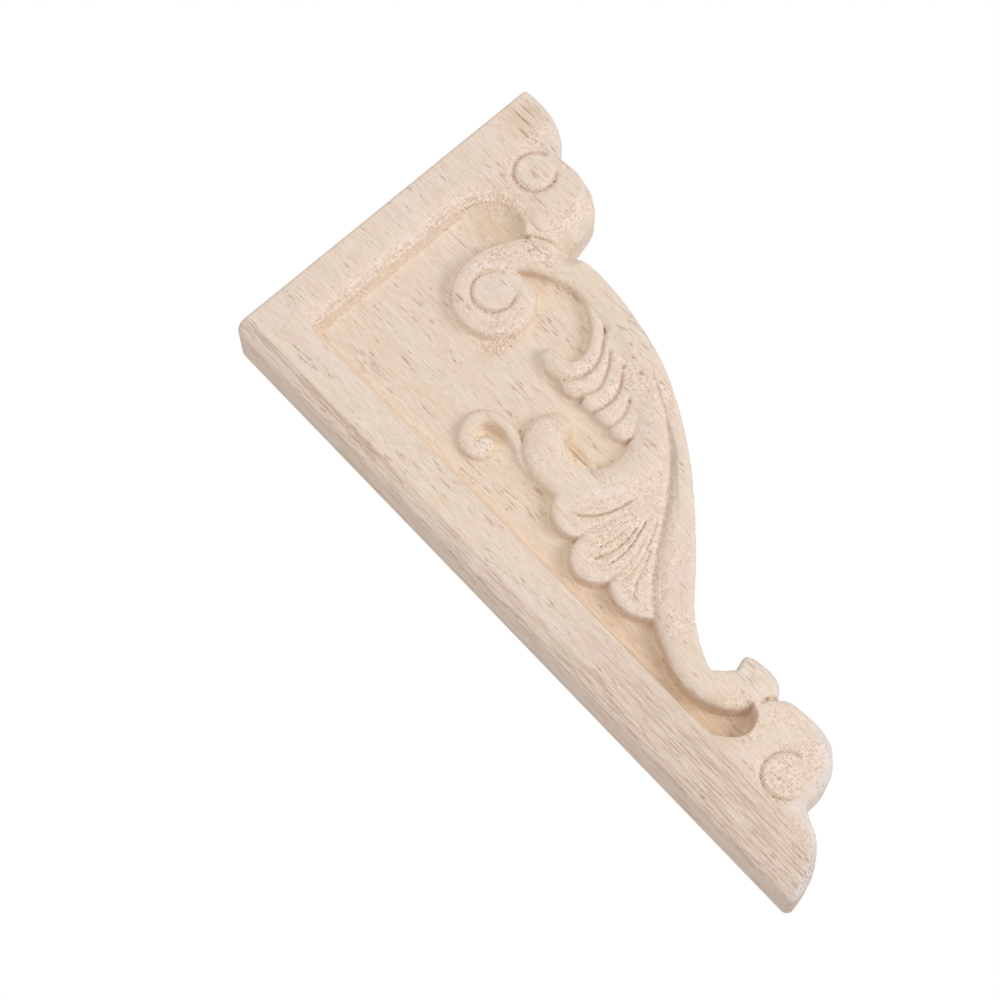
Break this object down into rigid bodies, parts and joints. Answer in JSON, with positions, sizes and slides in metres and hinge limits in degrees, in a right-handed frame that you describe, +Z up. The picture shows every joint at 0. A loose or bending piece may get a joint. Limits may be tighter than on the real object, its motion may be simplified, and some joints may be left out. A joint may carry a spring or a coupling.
{
  "type": "carved wooden corner onlay",
  "caption": "Flat backed wooden corner onlay: a moulded border on two sides around a sunk ground with a carved scroll, leaf fans and a curl.",
  "frame": {"origin": "middle of the outline's bounding box, on the flat back that is glued to the furniture", "axes": "+Y out of the back into what it is fixed to, so the carving faces -Y; +Z up along the long side; +X along the short side, away from the right angled corner"},
  "size_m": [0.058, 0.008, 0.115],
  "materials": {
    "pale_wood": "unfinished pale rubberwood, fine brown pores along the long side, cutter marks on the slopes"
  },
  "bodies": {
    "root": {"corner_onlay": "pale_wood"}
  },
  "joints": []
}
